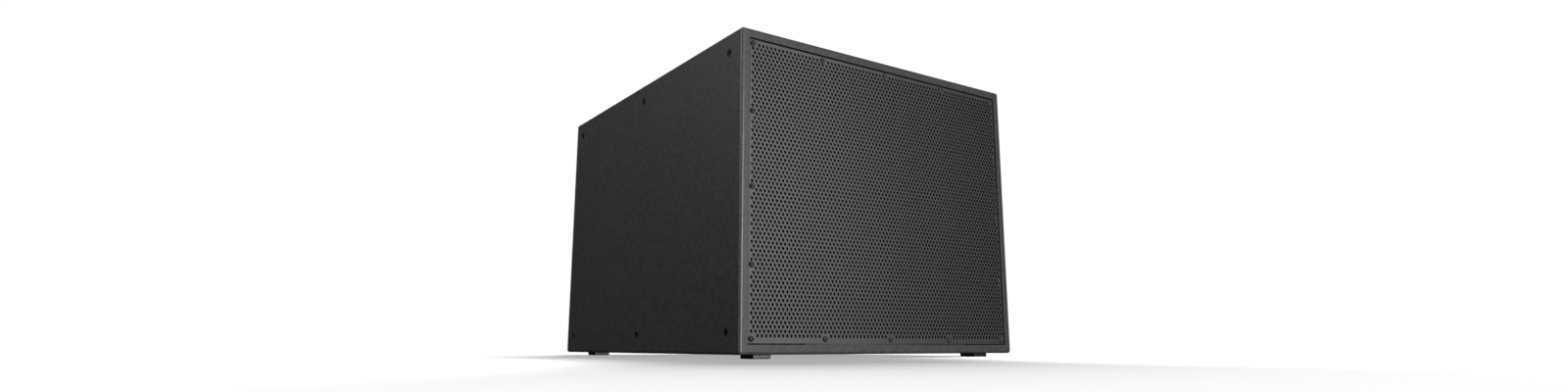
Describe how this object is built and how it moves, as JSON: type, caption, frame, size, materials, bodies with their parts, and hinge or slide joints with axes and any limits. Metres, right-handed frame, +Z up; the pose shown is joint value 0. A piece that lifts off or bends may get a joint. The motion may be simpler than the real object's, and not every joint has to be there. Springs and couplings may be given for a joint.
{
  "type": "subwoofer cabinet",
  "caption": "Passive 18-inch subwoofer in a textured black plywood box, with a full-front perforated steel grille, threaded suspension points in its sides and low feet.",
  "frame": {"origin": "on the floor under the middle of the box, at the height of the feet's undersides", "axes": "+Z up, -Y out of the grille, +X towards the right side panel as the cabinet is seen from the front"},
  "size_m": [0.6, 0.712, 0.5145],
  "materials": {
    "cabinet_paint": "plywood under textured black paint",
    "inner_plywood": "birch plywood under a thin black stain",
    "grille_paint": "satin black powder coat on perforated steel",
    "foam": "open-cell foam",
    "black_screw": "black oxide steel",
    "foot_rubber": "moulded rubber",
    "cast_aluminium": "black-coated casting",
    "cone_paper": "ribbed treated paper",
    "surround_cloth": "coated cloth",
    "spider_cloth": "resin-treated cloth",
    "coil_former": "glass-fibre former with a copper winding",
    "plated_steel": "zinc-plated steel",
    "ferrite": "sintered ferrite",
    "gasket": "foam rubber",
    "dish_paint": "black powder coat on pressed steel",
    "socket_plastic": "moulded glass-filled plastic",
    "strip_plastic": "moulded phenolic",
    "lead_jacket": "flexible jacket",
    "damping_foam": "open-cell damping foam"
  },
  "bodies": {
    "root": {"back_plate": "plated_steel", "baffle": "inner_plywood", "basket": "cast_aluminium", "basket_gasket": "gasket", "bottom_panel": "cabinet_paint", "driver_lead": "lead_jacket", "foot_front_left": "foot_rubber", "foot_front_right": "foot_rubber", "foot_rear_left": "foot_rubber", "foot_rear_right": "foot_rubber", "front_plate": "plated_steel", "grille": "grille_paint", "grille_batten_frame": "inner_plywood", "grille_foam": "foam", "grille_screw_01": "black_screw", "grille_screw_02": "black_screw", "grille_screw_03": "black_screw", "grille_screw_04": "black_screw", "grille_screw_05": "black_screw", "grille_screw_06": "black_screw", "grille_screw_07": "black_screw", "grille_screw_08": "black_screw", "grille_screw_09": "black_screw", "grille_screw_10": "black_screw", "grille_screw_11": "black_screw", "grille_screw_12": "black_screw", "grille_screw_13": "black_screw", "grille_screw_14": "black_screw", "grille_screw_15": "black_screw", "grille_screw_16": "black_screw", "input_dish": "dish_paint", "left_plug_1": "black_screw", "left_plug_2": "black_screw", "left_plug_3": "black_screw", "left_plug_4": "black_screw", "left_plug_5": "black_screw", "left_plug_6": "black_screw", "left_port_board": "inner_plywood", "left_side_panel": "cabinet_paint", "magnet": "ferrite", "rear_damping_foam": "damping_foam", "rear_panel": "cabinet_paint", "right_plug_1": "black_screw", "right_plug_2": "black_screw", "right_plug_3": "black_screw", "right_plug_4": "black_screw", "right_plug_5": "black_screw", "right_plug_6": "black_screw", "right_port_board": "inner_plywood", "right_side_panel": "cabinet_paint", "socket_left": "socket_plastic", "socket_right": "socket_plastic", "terminal_strip": "strip_plastic", "top_panel": "cabinet_paint", "window_brace": "inner_plywood"},
    "cone_assembly": {"cone": "cone_paper", "dust_cap": "cone_paper", "voice_coil": "coil_former", "surround": "surround_cloth", "spider": "spider_cloth"}
  },
  "joints": [
    {"name": "cone_stroke", "type": "slide", "parent": "root", "child": "cone_assembly", "axis": [0, -1, 0], "range_m": [-0.012, 0.012], "stiffness_N_per_m": 8000, "deforming": ["surround", "spider"]}
  ]
}
